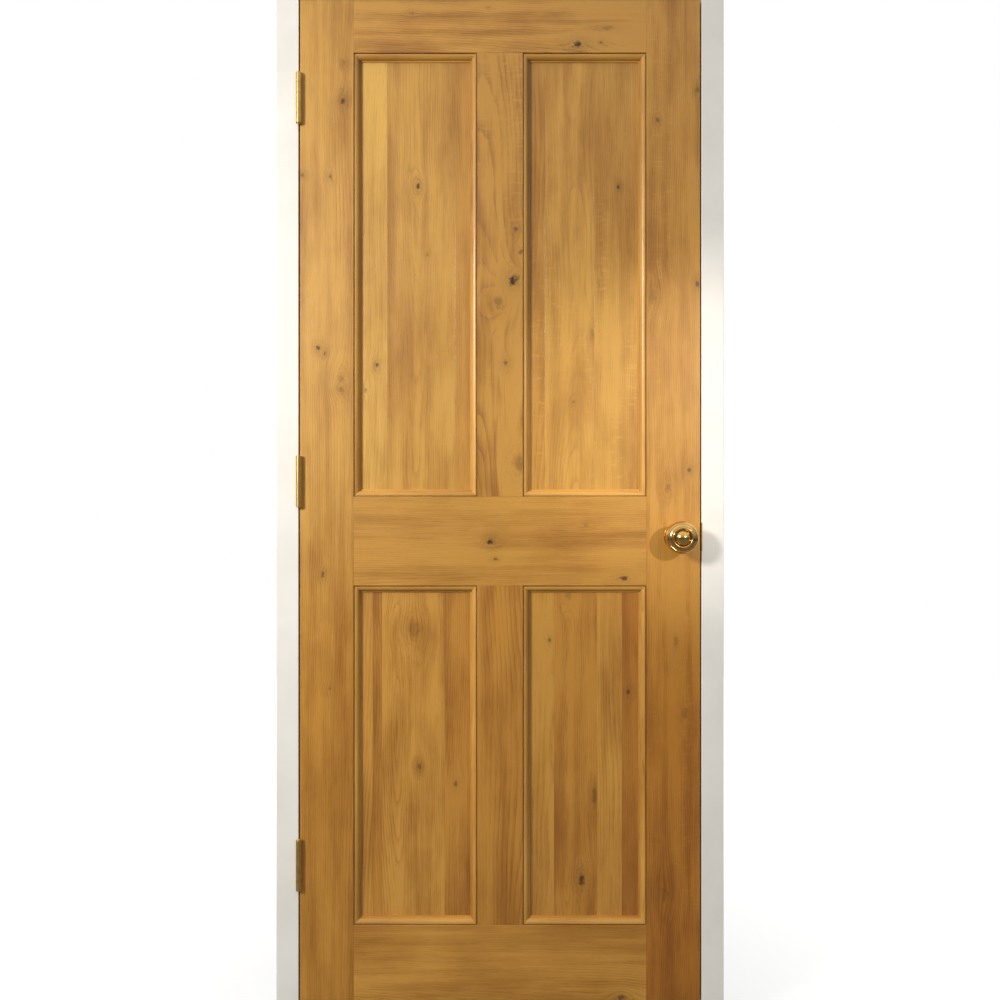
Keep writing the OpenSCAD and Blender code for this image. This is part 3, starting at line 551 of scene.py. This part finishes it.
def bead_set(node, panel, faces_front, materials):
    low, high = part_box(node)
    panel_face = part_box(panel)[0 if faces_front else 1][1]
    outer = low[1] if faces_front else high[1]
    height = abs(outer - panel_face)
    centre = Vector(((low[0] + high[0]) / 2, panel_face, (low[2] + high[2]) / 2))
    bm = bmesh.new()
    for quarter in range(4):
        upright = quarter % 2 == 1
        span = high[2] - low[2] if upright else high[0] - low[0]
        other = high[0] - low[0] if upright else high[2] - low[2]
        verts = bead_length(bm, span, height, 0 if upright else 1)
        bmesh.ops.translate(bm, vec=(0, 0, -other / 2), verts=verts)
        turn = Matrix.Rotation(math.radians(90 * quarter), 3, "Y")
        bmesh.ops.rotate(bm, cent=(0, 0, 0), matrix=turn, verts=verts)
    if not faces_front:
        bmesh.ops.scale(bm, vec=(1, -1, 1), verts=bm.verts)
    bmesh.ops.translate(bm, vec=centre, verts=bm.verts)
    bmesh.ops.recalc_face_normals(bm, faces=bm.faces)
    shade_smooth(bm.faces)
    piece = finish_piece(bm, node + "_moulding", "leaf", materials, [node])
    print(f"{piece.name}: {len(piece.data.polygons)} faces")


BEAD_TONE = (0.95, 0.95, 0.90)
bead_materials = [
    oak_board("oak_upright_bead", (0, 0, 1.3), tone=BEAD_TONE, plank=31.0, heart=(0.5, 0.3), contrast=0.8),
    oak_board("oak_level_bead", (0, 0, 1.3), tone=BEAD_TONE, plank=32.0, heart=(0.9, 0.3), level=True,
              contrast=0.8)]
for opening in ("upper_left", "upper_right", "lower_left", "lower_right"):
    bead_set(opening + "_front_beads", opening + "_panel", True, bead_materials)
    bead_set(opening + "_rear_beads", opening + "_panel", False, bead_materials)

# %% [markdown]
# ## The painted frame
#
# The frame is softwood under white satin paint. Paint is laid off along the grain, so it has very
# faint brush lines, and it is never one even white: it is a touch warmer and duller in patches.
# The jambs and head have broader eased arrises than the leaf, because paint does not hold on
# a sharp edge.

# %% Paint the frame
def white_paint(name, level):
    material, tree, shader = new_material(name)
    seen = add(tree, "ShaderNodeTexCoord").outputs["Object"]
    drawn = (6.0, 260.0, 260.0) if level else (260.0, 260.0, 6.0)
    brush = clouds(tree, stretched(tree, seen, drawn), detail=2.0).outputs["Fac"]
    patches = clouds(tree, seen, scale=9.0, detail=3.0).outputs["Fac"]
    colour = blend_colours(tree, between(tree, patches, 0.35, 0.65), (0.86, 0.85, 0.82), (0.80, 0.79, 0.755))
    tree.links.new(colour, shader.inputs["Base Color"])
    tree.links.new(between(tree, patches, 0.3, 0.7, 0.34, 0.46), shader.inputs["Roughness"])
    bump = add(tree, "ShaderNodeBump", {"Height": brush, "Distance": 0.0002, "Strength": 0.35})
    tree.links.new(bump.outputs[0], shader.inputs["Normal"])
    return material


upright_paint = white_paint("white_paint_upright", False)
level_paint = white_paint("white_paint_level", True)
for node in ("hinge_jamb", "latch_jamb", "hinge_side_stop", "latch_side_stop"):
    eased_timber(node, "frame", upright_paint, FRAME_EASE, SHORTEST_FRAME_ARRIS)
for node in ("frame_head", "frame_sill", "head_stop"):
    eased_timber(node, "frame", level_paint, FRAME_EASE, SHORTEST_FRAME_ARRIS)

# %% [markdown]
# ## Brass, steel and rubber
#
# The knobs and roses are polished brass, the hinges and plates satin brass. Handling leaves fine
# rubs in the polish, and the colour drifts a little warmer in patches, so both the colour and the roughness drift.
# The parts inside the latch are zinc-plated steel, with a finer, greyer grain. The seals are matt rubber.

# %% Metals and rubber
def metal(name, bright, dull, smooth, rough, scale):
    material, tree, shader = new_material(name)
    seen = add(tree, "ShaderNodeTexCoord").outputs["Object"]
    drift = clouds(tree, seen, scale=scale, detail=3.0).outputs["Fac"]
    rubs = clouds(tree, stretched(tree, seen, (900.0, 900.0, 120.0)), detail=2.0).outputs["Fac"]
    colour = blend_colours(tree, between(tree, drift, 0.35, 0.65), bright, dull)
    tree.links.new(colour, shader.inputs["Base Color"])
    both = calc(tree, "ADD", calc(tree, "MULTIPLY", drift, 0.6), calc(tree, "MULTIPLY", rubs, 0.4))
    tree.links.new(between(tree, both, 0.35, 0.65, smooth, rough), shader.inputs["Roughness"])
    shader.inputs["Metallic"].default_value = 1.0
    return material


polished_brass = metal("polished_brass", (0.80, 0.52, 0.18), (0.62, 0.37, 0.10), 0.12, 0.20, 45.0)
satin_brass = metal("satin_brass", (0.74, 0.52, 0.21), (0.60, 0.40, 0.14), 0.26, 0.40, 60.0)
zinc_steel = metal("zinc_plated_steel", (0.60, 0.61, 0.62), (0.46, 0.47, 0.48), 0.28, 0.45, 120.0)


def rubber():
    material, tree, shader = new_material("seal_rubber")
    seen = add(tree, "ShaderNodeTexCoord").outputs["Object"]
    dust = clouds(tree, seen, scale=70.0, detail=3.0).outputs["Fac"]
    colour = blend_colours(tree, between(tree, dust, 0.4, 0.7), (0.030, 0.029, 0.027), (0.075, 0.072, 0.066))
    tree.links.new(colour, shader.inputs["Base Color"])
    tree.links.new(between(tree, dust, 0.3, 0.7, 0.55, 0.75), shader.inputs["Roughness"])
    return material


finishes = {"brass": satin_brass, "steel": zinc_steel, "seal": rubber()}
slots = {part["node"]: part["material_slot"] for part in frame["record"]["subparts"]}
for name, node in nodes.items():
    finish = finishes.get(slots.get(name))
    if finish is None:
        continue
    if not node.material_slots:
        node.data.materials.append(finish)
    for held in node.material_slots:
        held.material = finish
print("metal and rubber nodes:", sum(slots[n] in finishes for n in nodes))

# %% [markdown]
# ## The knobs
#
# The knob is a turning: a bun with a stepped rim, a hollow, a raised ring and a domed boss.
# Anything turned on a lathe is a half outline spun about its axis, so its outline is drawn as
# short runs of points, from the neck out to the rim and in to the boss, then spun in a full turn.
# The outline is smooth where the metal is polished and has a crease where the lathe tool cut in.
# The roses keep their CAD shape, because it has the countersinks that their screws sit in.

# %% Turn the knobs
def spun_outline(outline, side, steps=72):
    bm = bmesh.new()
    face = leaf_front if side < 0 else leaf_back
    verts = [bm.verts.new((spindle_x + radius * MM, face + side * out * MM, spindle_z)) for radius, out in outline]
    edges = [bm.edges.new(pair) for pair in zip(verts, verts[1:])]
    bmesh.ops.spin(bm, geom=verts + edges, cent=(spindle_x, 0, spindle_z), axis=(0, 1, 0), angle=2 * math.pi,
                   steps=steps, use_merge=True, use_duplicate=False)
    bmesh.ops.remove_doubles(bm, verts=bm.verts, dist=0.000001)
    bmesh.ops.recalc_face_normals(bm, faces=bm.faces)
    shade_smooth(bm.faces)
    return bm


def arc(centre_radius, centre_out, radius, start, end, steps):
    return [(centre_radius + radius * math.cos(math.radians(start + (end - start) * i / steps)),
             centre_out + radius * math.sin(math.radians(start + (end - start) * i / steps)))
            for i in range(steps + 1)]


KNOB_RADIUS = (knob_high[0] - knob_low[0]) / 2 / MM
KNOB_FRONT = (leaf_front - knob_low[1]) / MM
KNOB_MIDDLE = 42.0
back_to_shoulder = ([(0, 1.5), (11, 1.5), (11, 23.5)] + arc(12.4, 25.2, 1.6, 180, 20, 6)
                    + arc(19.5, KNOB_MIDDLE, 13.5, -80, 52, 22))
stepped_face = [(27.3, 52.5)] + arc(17.0, 42.5, 14.65, 47, 69, 8) + [(21.75, 55.5)]
raised_ring = arc(19.2, 57.2, 2.5, -5, 185, 14) + [(16.55, 55.9)]
domed_boss = arc(0, 46.5, 18.3, 27.7, 90, 18)
knob_outline = back_to_shoulder + stepped_face + raised_ring + domed_boss[:-1] + [(0, domed_boss[-1][1])]
for side, end in ((-1, "front"), (1, "rear")):
    finish_piece(spun_outline(knob_outline, side), end + "_knob_turning", "knobs",
                 [polished_brass], [end + "_knob"])
    for held in nodes[end + "_rose"].material_slots:
        held.material = polished_brass
print(f"knob {2 * KNOB_RADIUS:.0f} mm across, {KNOB_FRONT:.1f} mm from the leaf")

# %% [markdown]
# ## The floor and the light
#
# The door stands on a plain pale floor in front of nothing. A soft window light at the upper left
# models the beads, a small lamp at the upper right throws the knob's round shadow down to the left
# and puts a gleam on the lock stile, and a pale sky fills the rest. A white room would light the
# door from below as well and flatten it, so the sky is darker low down and the floor gives back
# little light. A faint glow that only the camera sees keeps the floor looking pale.

# %% Light the door
def soft_light(name, place, target, width, height, power, colour, spread=180.0):
    data = bpy.data.lights.new(name, "AREA")
    data.shape = "RECTANGLE"
    data.size, data.size_y = width, height
    data.energy, data.color = power, colour
    data.spread = math.radians(spread)
    light = bpy.data.objects.new(name, data)
    light.location = place
    light.rotation_euler = (Vector(target) - Vector(place)).to_track_quat("-Z", "Y").to_euler()
    bpy.context.scene.collection.objects.link(light)
    return light


def small_lamp(name, place, target, cone, source, power, colour):
    data = bpy.data.lights.new(name, "SPOT")
    data.spot_size, data.spot_blend = math.radians(cone), 1.0
    data.shadow_soft_size = source
    data.energy, data.color = power, colour
    light = bpy.data.objects.new(name, data)
    light.location = place
    light.rotation_euler = (Vector(target) - Vector(place)).to_track_quat("-Z", "Y").to_euler()
    bpy.context.scene.collection.objects.link(light)
    return light


soft_light("left_window", (-2.15, -2.15, 2.05), (-0.25, 0, 1.2), 0.55, 0.55, 22, (1.0, 0.95, 0.87), 90)
small_lamp("right_lamp", (1.55, -2.2, 1.72), (0.42, 0, 1.20), 20, 0.035, 140, (1.0, 0.92, 0.80))

world = bpy.data.worlds.new("studio")
bpy.context.scene.world = world
world.use_nodes = True
sky = world.node_tree
sky.nodes.clear()
seen_direct = add(sky, "ShaderNodeLightPath").outputs["Is Camera Ray"]
towards = add(sky, "ShaderNodeTexCoord").outputs["Generated"]
up = add(sky, "ShaderNodeSeparateXYZ", {0: towards}).outputs[2]
brightness = between(sky, up, -0.15, 0.65, 0.05, 0.90)
ambient = add(sky, "ShaderNodeBackground", {"Color": (1.0, 0.98, 0.95, 1.0), "Strength": brightness})
white = add(sky, "ShaderNodeBackground", {"Color": (1.0, 1.0, 1.0, 1.0), "Strength": 1.0})
chosen = add(sky, "ShaderNodeMixShader", {0: seen_direct, 1: ambient.outputs[0], 2: white.outputs[0]})
add(sky, "ShaderNodeOutputWorld", {"Surface": chosen.outputs[0]})

bm = bmesh.new()
bmesh.ops.create_grid(bm, x_segments=1, y_segments=1, size=4.0)
floor_mesh = bpy.data.meshes.new("floor")
bm.to_mesh(floor_mesh)
bm.free()
floor = bpy.data.objects.new("floor", floor_mesh)
bpy.context.scene.collection.objects.link(floor)
material, tree, shader = new_material("pale_floor")
seen = add(tree, "ShaderNodeTexCoord").outputs["Object"]
patches = clouds(tree, seen, scale=3.0, detail=4.0).outputs["Fac"]
floor_colour = blend_colours(tree, patches, (0.20, 0.20, 0.197), (0.16, 0.16, 0.158))
tree.links.new(floor_colour, shader.inputs["Base Color"])
away = add(tree, "ShaderNodeVectorMath", {0: seen}, operation="LENGTH").outputs["Value"]
lit = add(tree, "ShaderNodeLightPath").outputs["Is Camera Ray"]
shader.inputs["Emission Color"].default_value = (1.0, 1.0, 1.0, 1.0)
glow = calc(tree, "MULTIPLY", between(tree, away, 0.4, 1.5, 0.74, 1.0), lit)
tree.links.new(glow, shader.inputs["Emission Strength"])
shader.inputs["Roughness"].default_value = 0.7
floor_mesh.materials.append(material)
